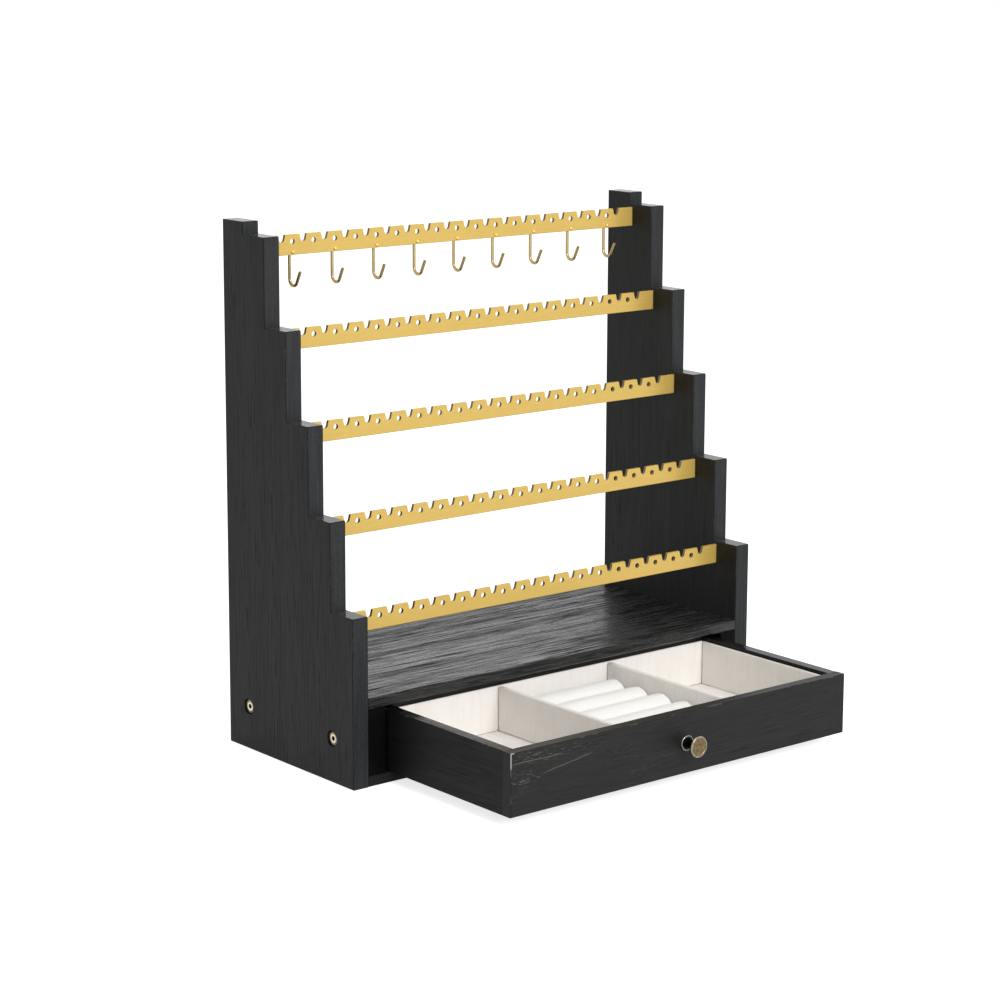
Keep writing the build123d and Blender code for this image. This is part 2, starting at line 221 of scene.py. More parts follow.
# a strand pattern on faces that look along Y, lightened and tinted as painted light
STRAND_LIT_DARK = (0.010, 0.0115, 0.0125, 1.0)
STRAND_LIT_LIGHT = (0.039, 0.0425, 0.045, 1.0)

BAND_WANDER_SCALE, BAND_WANDER = 7, 0.05
BAND_FADE = (0.020, 0.029)      # where the front band begins to fade and ends, before it wanders
THREAD_WANDER_SCALE, THREAD_WANDER = 60, 0.0022
THREAD_EDGE = (0.0001, 0.0004)  # where a thread begins to fade and ends, from its middle
PAINTED_GLINT_FADE = 0.002


def wavy_band(tree, back):
    """1 in front of a wavy line across the board, close to the y called back, and 0 behind it."""
    wander = noise_of(tree, mapped(tree, (BAND_WANDER_SCALE,) * 3), detail=2.0)
    y = plus(tree, object_axes(tree)[Y], times(tree, wander, BAND_WANDER))
    start, end = BAND_FADE
    return fade(tree, y, back + start, back + end)


def pale_zone(tree, x, z, zone):
    """1 in the middle of an ellipse on a front face, and 0 outside it."""
    centre_x, centre_z, half_x, half_z = zone
    across = math_of(tree, "DIVIDE", minus(tree, x, centre_x), half_x)
    upward = math_of(tree, "DIVIDE", minus(tree, z, centre_z), half_z)
    square = plus(tree, times(tree, across, across), times(tree, upward, upward))
    return fade(tree, square, 0.2, 1.1)


def pale_thread(tree, x, z, thread, wander):
    """1 on a thin wavy thread from one point of a front face to another."""
    start_x, start_z, end_x, end_z = thread
    slope = (end_z - start_z) / (end_x - start_x)
    level = times(tree, minus(tree, x, start_x), slope)
    level = plus(tree, plus(tree, level, start_z - THREAD_WANDER / 2), wander)
    off = unsigned(tree, minus(tree, z, level))
    away = unsigned(tree, minus(tree, x, (start_x + end_x) / 2))
    reach = (end_x - start_x) / 2
    return times(tree, fade(tree, off, *THREAD_EDGE), ramp(tree, away, reach * 0.7, reach, 0.9, 0.0))


def missed_stain(tree, layer, patch):
    """1 in the specks that the stain missed, which lie in loose groups and, given a patch, mostly there."""
    specks = ramp(tree, noise_of(tree, layer(SPECKS), detail=2.0, rough=0.5), 0.60, 0.67)
    area = ramp(tree, noise_of(tree, layer(SPECK_AREAS), detail=2.0), 0.58, 0.72, 0.0, 0.7)
    if not patch:
        return times(tree, specks, area)
    x, _, z = object_axes(tree)
    area = times(tree, area, 0.35)
    for zone in patch["zones"]:
        area = plus(tree, area, pale_zone(tree, x, z, zone))
    pale = times(tree, specks, area)
    wander = noise_of(tree, mapped(tree, (THREAD_WANDER_SCALE,) * 3), detail=2.0)
    wander = times(tree, wander, THREAD_WANDER)
    for thread in patch["threads"]:
        pale = larger(tree, pale, pale_thread(tree, x, z, thread, wander))
    return pale


def painted_glint_mask(tree, corner):
    """Mask of the painted glint: 1 where a face lies left of a point of the front and above it."""
    x, _, z = object_axes(tree)
    corner_x, corner_z = corner
    leftward = ramp(tree, x, corner_x, corner_x - PAINTED_GLINT_FADE)
    upward = ramp(tree, z, corner_z, corner_z + PAINTED_GLINT_FADE)
    return times(tree, leftward, upward)


def wood(name, along, seed, relief=0.00007, rough=0.48, swing=0.07, shine=0.25, dark=0.004, light=0.011,
         streaks=0.14, plain=0.4, fine=1.0, length=1.0, pore_level=0.55, pore_depth=0.7, pore_rough=0.18,
         line_depth=0.6, growth_rough=0.0, pale_amount=0.2, wear_and_highlight=0.35, tread=0.08, ends=0.2, end_light=7.0,
         fronts=0.0, front_band=None, patch=None):
    """Black-stained open-grained wood, with its grain along one axis.

    relief is the depth of the bump. rough is the roughness, swing how far it varies, and shine the specular
    level. dark and light are the stain's levels, streaks is how much the broad bands lighten it, and plain
    how strong the pores are outside the bands. fine is how fine fibres and pores are across the grain, and
    length how long. pore_level is the noise above which a pore opens, pore_depth how dark it is and
    pore_rough how dull, and line_depth is the strength of the long lines. growth_rough is how dull the broad
    growth marks are, which 0 leaves out. pale_amount is the strength of missed stain, and wear that of pale
    spots on the eased edges, partly rubbed and partly painted highlight. tread is how much smoother a top
    face is. ends is the strength of end grain, which is end_light times as light; on the treads this light
    end grain also paints their highlight. fronts is the strength of a strand pattern on the faces that look
    along Y, lightened as painted light. front_band is the back of a smoother band with stronger pores, and
    patch places a patch of missed stain on the front and a painted glint on its eased upper left corner.
    """
    mat, tree, bsdf = new_material(name)

    def layer(scales, narrower=1.0, longer=1.0):
        """Coordinates for one layer of noise, stretched along the grain."""
        across, lengthwise, offset = scales
        scale = [across * narrower] * 3
        scale[along] = lengthwise / longer
        step_x, step_y, step_z = SEED_STEPS
        return mapped(tree, scale, (seed * step_x + offset, seed * step_y, seed * step_z + offset))

    # Broad figure and fine fibres
    figure = noise_of(tree, layer(FIGURE), distortion=0.7)
    bands = ramp(tree, figure, 0.40, 0.60)
    fibres = noise_of(tree, layer(FIBRES, fine, length), detail=4.0, rough=0.65)

    # Open pores and a few long dark lines
    pores = noise_of(tree, layer(PORES, fine, length), distortion=0.15)
    pores = ramp(tree, pores, pore_level, pore_level + PORE_RANGE)
    pores = times(tree, pores, between(tree, bands, plain, 1.0))
    if growth_rough:
        growth = noise_of(tree, layer(GROWTH), detail=5.0, rough=0.65, distortion=0.2)
        growth = ramp(tree, growth, 0.46, 0.55)
        pores = times(tree, pores, between(tree, growth, PLAIN_OFF_GROWTH, 1.0))
    if front_band is not None:
        near = wavy_band(tree, front_band)
        pores = times(tree, pores, between(tree, near, PLAIN_BEHIND_BAND, 1.0))
    lines = noise_of(tree, layer(LONG_LINES), detail=2.0, rough=0.4)
    lines = fade(tree, unsigned(tree, minus(tree, lines, 0.5)), 0.0, LINE_RANGE)
    open_grain = larger(tree, pores, times(tree, lines, line_depth))

    # Colour of the long grain, with pale specks where the stain missed a pore
    cloudy = noise_of(tree, layer(CLOUDS))
    tone = mix(tree, ramp(tree, fibres, *FIBRE_RANGE), grey(dark), grey(light))
    tone = mix(tree, times(tree, bands, streaks), tone, grey(light * STREAK_LIGHT))
    tone = mix(tree, ramp(tree, cloudy, 0.42, 0.70, 0.0, 0.35), tone, grey(dark))
    tone = mix(tree, times(tree, open_grain, pore_depth), tone, grey(dark * PORE_DARK))
    tone = mix(tree, times(tree, missed_stain(tree, layer, patch), pale_amount), tone, MISSED_STAIN)

    # End grain, with round cells, light enough on the panels to paint the treads' highlight, and a strand
    # pattern on the narrow front and back faces, lightened as painted light
    facing = facing_axes(tree)
    cells = noise_of(tree, mapped(tree, (END_CELL_SCALE,) * 3, (seed, 0, 0)), detail=2.0)
    cells = ramp(tree, cells, 0.40, 0.62)
    end = ramp(tree, unsigned(tree, facing[along]), *SQUARE_ON, 0.0, ends)
    tone = mix(tree, end, tone, mix(tree, cells, grey(dark), grey(light * end_light)))
    # Faces that look along Y are lightened as painted light, with a strand pattern
    if fronts:
        narrow = ramp(tree, unsigned(tree, facing[Y]), *SQUARE_ON, 0.0, fronts)
        lit_strands = plus(tree, times(tree, cells, 0.4), ramp(tree, fibres, *FIBRE_RANGE, 0.0, 0.6))
        tone = mix(tree, narrow, tone, mix(tree, lit_strands, STRAND_LIT_DARK, STRAND_LIT_LIGHT))

    # Eased edges are painted darker, as shade where they mirror dark surroundings, and are pale in spots
    # that are partly rubbed and partly painted highlights
    edge = eased_edge_mask(tree, facing)
    scuffs_and_highlights = ramp(tree, noise_of(tree, mapped(tree, (SCUFF_AND_HIGHLIGHT_SCALE,) * 3)), 0.56, 0.66)
    tone = mix(tree, times(tree, edge, EDGE_SHADE_STRENGTH), tone, grey(dark * EDGE_PAINTED_SHADE))
    # Pale spots, partly rubbed and partly painted highlights
    tone = mix(tree, times(tree, times(tree, edge, scuffs_and_highlights), wear_and_highlight), tone, WORN_AND_HIGHLIT_EDGE)
    # A painted highlight: a pale glint on the eased edge at the front's upper left corner
    if patch:
        tone = mix(tree, times(tree, edge, painted_glint_mask(tree, patch["corner"])), tone, PAINTED_GLINT)

    # Pores and growth marks are duller, and top faces smoother
    roughness = ramp(tree, fibres, *FIBRE_RANGE, rough + swing, rough - swing)
    roughness = plus(tree, roughness, between(tree, bands, swing * 0.5, -swing * 0.5))
    roughness = plus(tree, roughness, times(tree, open_grain, pore_rough))
    if growth_rough:
        roughness = plus(tree, roughness, times(tree, growth, growth_rough))
    if front_band is not None:
        roughness = minus(tree, roughness, times(tree, near, BAND_SMOOTHER))
    roughness = minus(tree, roughness, ramp(tree, facing[Z], 0.9, 1.0, 0.0, tread), clamp=True)

    height = minus(tree, times(tree, fibres, 0.7), open_grain)
    height = plus(tree, height, times(tree, figure, 0.5))
    fixed = {"Specular IOR Level": shine, "IOR": 1.5}
    connect(tree, bsdf, tone, roughness, bump(tree, height, relief), fixed)
    return mat


# Metal
BRUSH_ACROSS, BRUSH_ALONG = 5200.0, 60.0
MOTTLE_SCALE = 900.0
METAL_CLOUD_SCALE = (38, 60, 60)
BEAD_GOLD = (0.86, 0.64, 0.20, 1.0)
BEAD_EDGE = 0.0001
BEAD_ROUGH = 0.3


def metal(name, colour, dull, rough, seed, brush=None, relief=0.00002, sideways_shade=None, bead=None, metallic=1.0,
          edge_tint=(1.0, 1.0, 1.0, 1.0)):
    """Metal with fine brushing along one axis, or mottled.

    cut is the colour painted as shade on the faces that look sideways, the walls of the notches and
    holes, and bead the height above which a wire is satin gold.
    """
    mat, tree, bsdf = new_material(name)
    if brush is None:
        scale = [MOTTLE_SCALE] * 3
    else:
        scale = [BRUSH_ACROSS] * 3
        scale[brush] = BRUSH_ALONG
    lines = noise_of(tree, mapped(tree, scale, (seed, seed * 2.0, seed * 3.0)), rough=0.6)
    clouds = noise_of(tree, mapped(tree, METAL_CLOUD_SCALE, (seed * 4.0, 0, 0)))
    tone = mix(tree, ramp(tree, lines, 0.32, 0.70), dull, colour)
    tone = mix(tree, ramp(tree, clouds, 0.40, 0.70, 0.0, 0.22), tone, dull)
    # Painted shade on the faces that look sideways, the walls of the notches and holes
    if sideways_shade:
        sideways = unsigned(tree, facing_axes(tree)[X])
        tone = mix(tree, ramp(tree, sideways, 0.15, 0.5), tone, sideways_shade)
    roughness = ramp(tree, lines, 0.3, 0.7, rough + 0.07, rough - 0.05)
    if bead is not None:
        above = ramp(tree, object_axes(tree)[Z], bead - BEAD_EDGE, bead + BEAD_EDGE)
        tone = mix(tree, above, tone, BEAD_GOLD)
        roughness = plus(tree, roughness, times(tree, above, BEAD_ROUGH))
    fixed = {"Metallic": metallic, "Specular Tint": edge_tint}
    connect(tree, bsdf, tone, roughness, bump(tree, lines, relief), fixed)
    return mat


# Turned metal, and the three finishes made with it
TURNED_MOTTLE_SCALE, TURNED_LINE_SCALE = 620, 2400.0
TURNED_RELIEF = 0.00004
ZONE_EDGE = 0.0003
# the near black of painted shade: the knob's neck, the bolts' sockets and inside the rosette
PAINTED_SHADE_DARK = (0.012, 0.010, 0.008, 1.0)

KNOB_FACE = ((0.135, 0.095, 0.05, 1.0), (0.29, 0.21, 0.118, 1.0))
# a rim rubbed bright, which is also lightened as a painted highlight
KNOB_RIM_RUBBED_AND_LIT = ((0.27, 0.235, 0.165, 1.0), (0.50, 0.45, 0.35, 1.0))
KNOB_RIM_WIDTH = 0.0010
# the neck is painted dark as shade, behind the knob's face
KNOB_NECK = (0.0021, 0.0026)        # where the neck begins and is dark, behind the knob's face
# the rosette's face, dark as a painted shadow of the neck, and its rim lightened as a painted highlight
ROSETTE_SHADED_FACE = (PAINTED_SHADE_DARK, (0.040, 0.033, 0.024, 1.0))
ROSETTE_HIGHLIGHT_RIM = ((0.17, 0.16, 0.145, 1.0), (0.44, 0.42, 0.39, 1.0))
ROSETTE_RIM_WIDTH = 0.0009
# bolt zones: painted highlights on the face, painted shade on the sloping rim, a painted highlight at the
# edge
BOLT_HIGHLIGHT_CENTRE = ((0.70, 0.60, 0.38, 1.0), (0.98, 0.95, 0.82, 1.0))
BOLT_HIGHLIGHT_RING = ((0.40, 0.31, 0.15, 1.0), (0.95, 0.86, 0.62, 1.0))
BOLT_SHADED_SLOPE = ((0.020, 0.016, 0.010, 1.0), (0.13, 0.10, 0.055, 1.0))
BOLT_HIGHLIGHT_EDGE = ((0.06, 0.05, 0.03, 1.0), (0.40, 0.33, 0.20, 1.0))
BOLT_RING_START, BOLT_SLOPE_START, BOLT_EDGE_WIDTH = 0.0024, 0.0030, 0.0006
# the bolt's socket is painted dark as shade
SOCKET_RADIUS = (0.0019, 0.0021)
SOCKET_DEPTH = (0.0004, 0.0001)     # where the socket is dark and where it begins, below the head's face


def turned_metal(name, radius, zones, painted_shade=None, rough=(0.34, 0.24)):
    """Metal turned on a lathe. zones are (start, (dark colour, light colour)) by distance from the axis.

    radius gives that distance in a node tree, and recess a value that is 1 where shade is painted dark.
    """
    mat, tree, bsdf = new_material(name)
    distance = radius(tree)
    mottle = noise_of(tree, mapped(tree, (TURNED_MOTTLE_SCALE,) * 3, (3, 1, 2)), detail=4.0, rough=0.6)
    outward = node(tree, "ShaderNodeCombineXYZ", {0: distance}).outputs[0]
    turned = noise_of(tree, outward, scale=TURNED_LINE_SCALE, detail=2.0)
    blend = ramp(tree, plus(tree, times(tree, mottle, 0.6), times(tree, turned, 0.4)), 0.40, 0.62)
    tone = None
    for start, colours in zones:
        shade = mix(tree, blend, *colours)
        if tone is None:
            tone = shade
        else:
            tone = mix(tree, ramp(tree, distance, start, start + ZONE_EDGE), tone, shade)
    # Painted shade where the part lies in shadow
    if painted_shade is not None:
        tone = mix(tree, painted_shade(tree), tone, PAINTED_SHADE_DARK)
    roughness = ramp(tree, turned, 0.3, 0.7, *rough)
    height = plus(tree, times(tree, mottle, 0.5), turned)
    connect(tree, bsdf, tone, roughness, bump(tree, height, TURNED_RELIEF), {"Metallic": 1.0})
    return mat


def facing_front(low, high):
    """The outer radius of a round piece on the front, and a function for the distance from its axis."""
    centre = (low + high) / 2

    def radius(tree):
        x, _, z = object_axes(tree)
        return off_axis(tree, x, z, centre.x, centre.z)

    return (high.x - low.x) / 2, radius


def knob_metal(name, low, high):
    """Antique brass: a brown turned face, a rim rubbed bright and lightened as a painted highlight, and a
    neck painted dark as shade.
    """
    outer, radius = facing_front(low, high)

    def neck(tree):
        start, end = KNOB_NECK
        return ramp(tree, object_axes(tree)[Y], low.y + start, low.y + end)

    zones = ((0.0, KNOB_FACE), (outer - KNOB_RIM_WIDTH, KNOB_RIM_RUBBED_AND_LIT))
    return turned_metal(name, radius, zones, neck)


def rosette_finish(name, low, high):
    """The rosette: dark inside, partly a dark foot and partly the neck's painted shadow, with a painted
    highlight on its rim.
    """
    outer, radius = facing_front(low, high)
    zones = ((0.0, ROSETTE_SHADED_FACE), (outer - ROSETTE_RIM_WIDTH, ROSETTE_HIGHLIGHT_RIM))
    return turned_metal(name, radius, zones)


def bolt_finish(name, low, high):
    """Bolt brass: polished and pale, with painted highlights round a socket painted dark as shade, painted
    shade on its sloping rim where it mirrors dark, and a painted highlight at its edge.
    """
    head = (high.z - low.z) / 2

    def radius(tree):
        _, y, z = object_axes(tree)
        return off_axis(tree, unsigned(tree, y), z, high.y - head, low.z + head)

    def socket(tree):
        bottom, mouth = SOCKET_DEPTH
        sideways = unsigned(tree, object_axes(tree)[X])
        deep = fade(tree, sideways, high.x - bottom, high.x - mouth)
        return times(tree, deep, fade(tree, radius(tree), *SOCKET_RADIUS))

    zones = ((0.0, BOLT_HIGHLIGHT_CENTRE), (BOLT_RING_START, BOLT_HIGHLIGHT_RING), (BOLT_SLOPE_START, BOLT_SHADED_SLOPE),
             (head - BOLT_EDGE_WIDTH, BOLT_HIGHLIGHT_EDGE))
    return turned_metal(name, radius, zones, socket, rough=(0.30, 0.16))


# Velvet
PILE_SCALE = 3400
WEAVE_SCALE = (1500, 1500, 900)
BRUSHED_SCALE = (55, 38, 30)
UPRIGHT_SCALE = (420, 420, 38)
PILE_RELIEF = 0.00024
VELVET_FIXED = {"Specular IOR Level": 0.15, "Sheen Weight": 0.35, "Sheen Roughness": 0.45}


def velvet(name, colour, shade, seed, strokes=0.5):
    """Short-pile velvet: a fine pile, upright strokes and patches where it is brushed, and a soft sheen."""
    mat, tree, bsdf = new_material(name)
    pile = noise_of(tree, mapped(tree, (PILE_SCALE,) * 3, (seed, 0, 0)), detail=2.0, rough=0.7)
    weave = noise_of(tree, mapped(tree, WEAVE_SCALE, (0, seed, 0)), detail=2.0)
    brushed = noise_of(tree, mapped(tree, BRUSHED_SCALE, (seed, seed, 0)), distortion=0.8)
    upright = noise_of(tree, mapped(tree, UPRIGHT_SCALE, (seed * 3.0, 0, seed)), rough=0.6)
    tone = mix(tree, ramp(tree, pile, 0.30, 0.68), shade, colour)
    tone = mix(tree, ramp(tree, brushed, 0.40, 0.66, 0.0, 0.45), tone, shade)
    tone = mix(tree, ramp(tree, upright, 0.50, 0.66, 0.0, strokes), tone, shade)
    tone = mix(tree, ramp(tree, weave, 0.58, 0.75, 0.0, 0.35), tone, shade)
    roughness = ramp(tree, pile, 0.3, 0.7, 0.98, 0.82)
    height = plus(tree, plus(tree, pile, times(tree, weave, 0.7)), times(tree, upright, 0.8))
    connect(tree, bsdf, tone, roughness, bump(tree, height, PILE_RELIEF, strength=0.7), VELVET_FIXED)
    return mat


# The pale patch of the drawer front, placed from the front's upper left corner
ZONE_MIDDLES = ((0.032, -0.0045), (0.008, -0.0175))
ZONE_HALVES = ((0.032, 0.0045), (0.018, 0.0055))
THREAD_STARTS = ((-0.002, -0.0064), (0.024, -0.0165))
THREAD_ENDS = ((0.042, -0.0072), (0.064, -0.011))
# the point to the left of and above which the glint is painted on the eased edge
PAINTED_GLINT_POINT = (0.0034, -0.0105)

front_low, front_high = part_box("drawer_front")


def on_front(point):
    """The x and z of a point that is given from the drawer front's upper left corner."""
    return front_low.x + point[0], front_high.z + point[1]


front_patch = {
    "zones": [on_front(middle) + halves for middle, halves in zip(ZONE_MIDDLES, ZONE_HALVES)],
    "threads": [on_front(start) + on_front(end) for start, end in zip(THREAD_STARTS, THREAD_ENDS)],
    "corner": on_front(PAINTED_GLINT_POINT),
}

# The materials
SHELF_BAND = 0.045              # depth of the shelf's front band
BEAD_DROP = 0.0027              # the wire is satin gold down to this far below the hook's top

panel_wood = wood("panel_wood", along=Z, seed=1.0, relief=0.00004, swing=0.04, shine=0.19, dark=0.0085,
                  light=0.0135, plain=0.25, pore_depth=0.5, pale_amount=0.08, wear_and_highlight=0.12, tread=0.38,
                  ends=1.0, fronts=0.8)
shelf_wood = wood("shelf_wood", along=X, seed=2.0, relief=0.0012, rough=0.09, swing=0.08, shine=0.56,
                  dark=0.0006, light=0.0025, streaks=0.5, plain=0.5, fine=0.58, length=1.3,
                  pore_level=0.505, pore_depth=0.95, pore_rough=1.0, line_depth=1.0, growth_rough=0.25,
                  pale_amount=0.10, tread=0.0, front_band=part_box("shelf")[0].y + SHELF_BAND)
# The box walls are a darker copy of the black wood: painted shade, as they sit in shadow beside the drawer
shaded_wall_wood = wood("shaded_wall_wood", along=Z, seed=6.0, rough=0.55, shine=0.06, dark=0.001, light=0.0025,
                 pale_amount=0.04)
board_wood = wood("board_wood", along=X, seed=3.0)
front_wood = wood("front_wood", along=X, seed=4.0, relief=0.00003, swing=0.04, shine=0.26, dark=0.005,
                  light=0.010, pale_amount=0.45, tread=0.06, ends=1.0, end_light=0.6, patch=front_patch)
side_wood = wood("side_wood", along=Y, seed=5.0, relief=0.00004, shine=0.18, dark=0.0035, light=0.0055,
                 pore_depth=0.5, pale_amount=0.08, tread=0.36, ends=0.0)
gold = metal("brushed_gold", colour=(0.69, 0.483, 0.121, 1), dull=(0.60, 0.402, 0.093, 1), rough=0.34,
             seed=1.0, brush=X, sideways_shade=(0.18, 0.12, 0.045, 1), metallic=0.27)
gold_wire = metal("gold_wire", colour=(0.58, 0.45, 0.20, 1), dull=(0.47, 0.355, 0.15, 1), rough=0.30,
                  seed=2.0, brush=Z, relief=0.000004, bead=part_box("necklace_hook_1")[1].z - BEAD_DROP,
                  edge_tint=(0.30, 0.22, 0.12, 1))
zinc = metal("insert_zinc", colour=(0.60, 0.61, 0.62, 1), dull=(0.42, 0.43, 0.44, 1), rough=0.35, seed=4.0)
brass = bolt_finish("bolt_brass", *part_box("side_bolts"))
bronze = knob_metal("antique_brass", *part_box("knob"))
rosette_metal = rosette_finish("rosette_brass", *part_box("knob_rosette"))
cream = velvet("cream_velvet", colour=(0.91, 0.895, 0.875, 1), shade=(0.79, 0.75, 0.70, 1), seed=1.0)
white = velvet("white_velvet", colour=(0.855, 0.85, 0.83, 1), shade=(0.80, 0.795, 0.77, 1), seed=2.0,
               strokes=0.2)

materials = {
    "left_side_panel": panel_wood, "right_side_panel": panel_wood, "shelf": shelf_wood,
    "box_bottom": board_wood, "box_back": board_wood,
    "box_left_wall": shaded_wall_wood, "box_right_wall": shaded_wall_wood,
    "drawer_front": front_wood, "drawer_left_side": side_wood, "drawer_right_side": side_wood,
    "drawer_back": board_wood, "drawer_bottom": board_wood, "side_bolts": brass, "threaded_inserts": zinc,
    "knob": bronze, "knob_rosette": rosette_metal, "knob_screw": zinc,
}
for name, obj in nodes.items():
    if name.startswith("earring_bar"):
        chosen = gold
    elif name.startswith("necklace_hook"):
        chosen = gold_wire
    elif name.startswith("ring_roll"):
        chosen = white
    else:
        chosen = materials.get(name, cream)
    for slot in obj.material_slots:
        slot.material = chosen


# Object helpers
def add_object(name, data):
    obj = bpy.data.objects.new(name, data)
    bpy.context.scene.collection.objects.link(obj)
    return obj


def mesh_object(name, bm):
    """An object of the scene with the bmesh as its mesh."""
    mesh = bpy.data.meshes.new(name)
    bm.to_mesh(mesh)
    bm.free()
    return add_object(name, mesh)


def shade_smooth(mesh):
    mesh.polygons.foreach_set("use_smooth", [True] * len(mesh.polygons))


def apply_modifiers(obj):
    """Replaces the object's mesh by its evaluated one."""
    graph = bpy.context.evaluated_depsgraph_get()
    graph.update()
    made = bpy.data.meshes.new_from_object(obj.evaluated_get(graph))
    obj.modifiers.clear()
    obj.data = made


# Velvet-covered boards of the liner
BOARD_HALF_STEP = 0.0022        # half the distance between the points on a board's faces
UNEVEN_SCALE = 160
TINY = 1e-9
SEAM = 0.0003                   # a board stops this far from the boards that it meets
FLOOR_EDGE, WALL_EDGE, DIVIDER_EDGE = 0.0006, 0.0007, 0.0014
FLOOR_WAVE, WALL_WAVE, DIVIDER_WAVE = 0.00005, 0.00006, 0.00010
MOST_EDGE = 0.98                # the rounding takes up at most this share of half a board


def stations(half, edge, count):
    """Places across a board from one edge to the other, close together where its edges turn."""
    near = [half - edge * share for share in (0.0, 0.25, 0.5, 0.75, 1.0)]
    inner = [(half - edge) * (1 - 2 * i / count) for i in range(1, count)]
    return sorted(near + inner + [-x for x in near])


def held_within(value, limit):
    """The value, brought between minus the limit and the limit, or 0 where the limit leaves no room."""
    return max(-limit, min(limit, value)) if limit > 0 else 0


def block_quads(last):
    """The quads on the six faces of a grid, each as four keys, and whether it faces inwards."""
    for axis in (X, Y, Z):
        u, v = (axis + 1) % 3, (axis + 2) % 3
        for end in (0, last[axis]):
            for i in range(last[u]):
                for j in range(last[v]):
                    quad = []
                    for du, dv in ((0, 0), (1, 0), (1, 1), (0, 1)):
                        key = [0, 0, 0]
                        key[axis], key[u], key[v] = end, i + du, j + dv
                        quad.append(tuple(key))
                    yield quad, end == 0


def velvet_board(name, cad_node, edge, wave, trim):
    """A board with its edges rounded under the pile, a little uneven, in the space of its CAD node."""
    low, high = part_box(cad_node)
    centre = (low + high) / 2
    half = (high - low) / 2 - Vector(trim)
    counts = [max(2, int(size / BOARD_HALF_STEP)) for size in half]
    axes = [stations(size, min(edge, size * MOST_EDGE), count) for size, count in zip(half, counts)]
    radius = min(edge, min(half))
    bm = bmesh.new()
    grid = {}

    def corner(key):
        if key not in grid:
            point = Vector(places[i] for places, i in zip(axes, key))
            inner = Vector(held_within(place, size - edge) for place, size in zip(point, half))
            out = point - inner
            if out.length > TINY:
                out.normalize()
                point = inner + out * radius
                soft = noise.noise((centre + point) * UNEVEN_SCALE) * wave
                point -= out * (wave + soft)
            grid[key] = bm.verts.new(centre + point)
        return grid[key]

    for quad, inwards in block_quads([len(places) - 1 for places in axes]):
        corners = [corner(key) for key in quad]
        if inwards:
            corners.reverse()
        bm.faces.new(corners)
    obj = mesh_object(name, bm)
    shade_smooth(obj.data)
    obj.data.materials.append(cream)
    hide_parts(cad_node)
    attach(obj, "drawer")


velvet_board("velvet_floor", "liner_floor", FLOOR_EDGE, FLOOR_WAVE, trim=(SEAM, SEAM, 0))
for part_name in ("liner_front", "liner_back"):
    velvet_board(part_name.replace("liner", "velvet"), part_name, WALL_EDGE, WALL_WAVE, trim=(SEAM, 0, 0))
for part_name in ("liner_left", "liner_right"):
    velvet_board(part_name.replace("liner", "velvet"), part_name, WALL_EDGE, WALL_WAVE, trim=(0, SEAM, 0))
for part_name in ("left_divider", "right_divider"):
    velvet_board("velvet_" + part_name, part_name, DIVIDER_EDGE, DIVIDER_WAVE, trim=(0, SEAM, 0))

# Ring rolls: one is made and stuffed as cloth, and the five are copies of it, each with its own creases
ROLL_COUNT = 5
ROLL_RINGS, ROLL_SIDES = 46, 36
ROLL_END_RADIUS = 0.0034
ROLL_INSET = 0.0005             # the roll starts this far inside its CAD box, because stuffing swells it
ROLL_LIFT = 0.0003              # its axis lies this far above the middle of the box
ROLL_FLAT = 0.0002              # its flat underside lies this far above the bottom of the box
VOXEL = 0.0021
CLOTH_STEPS = 20
CLOTH_PRESSURE, CLOTH_MASS = 4.0, 0.2
CLOTH_STIFFNESS, CLOTH_BENDING = 20, 0.4
LONGEST_MOVE = 0.0008
CREASE_AXIS_LIFT = 0.0002       # creases push out from an axis this far above the middle of the box
TINY_RADIUS = 1e-6
CREASE_DEPTH, LUMP_DEPTH = 0.00028, 0.00035
CREASE_SCALE_ALONG, CREASE_SCALE_ROUND, CREASE_STEP = 34, 90, 7
LUMP_SCALE_ALONG, LUMP_SCALE_UP, LUMP_STEP_ALONG, LUMP_STEP_ASIDE = 14, 30, 3, 5.0
CLOTH_GAP = 0.0001


def roll_shape(bm, low, high):
    """A closed roll, a little inside its CAD box, with ends rounded by a radius and a flat underside."""
    half = (high.x - low.x) / 2 - ROLL_INSET
    centre = (low + high) / 2
    radius = (high.y - low.y) / 2 - ROLL_INSET
    rows = []
    for i in range(ROLL_RINGS + 1):
        reach = half * -cos(pi * i / ROLL_RINGS)
        past = max(0.0, abs(reach) - (half - ROLL_END_RADIUS)) / ROLL_END_RADIUS
        r = radius - ROLL_END_RADIUS + ROLL_END_RADIUS * sqrt(max(0.0, 1 - past * past))
        row = []
        for k in range(ROLL_SIDES):
            a = 2 * pi * k / ROLL_SIDES
            z = max(centre.z + ROLL_LIFT + r * sin(a), low.z + ROLL_FLAT)
            row.append(bm.verts.new((centre.x + reach, centre.y + r * cos(a), z)))
        rows.append(row)
    for a, b in zip(rows, rows[1:]):
        for k in range(ROLL_SIDES):
            n = (k + 1) % ROLL_SIDES
            bm.faces.new((a[k], b[k], b[n], a[n]))
    for row in (rows[0], rows[-1]):
        bm.faces.new(row)
    bmesh.ops.recalc_face_normals(bm, faces=bm.faces)


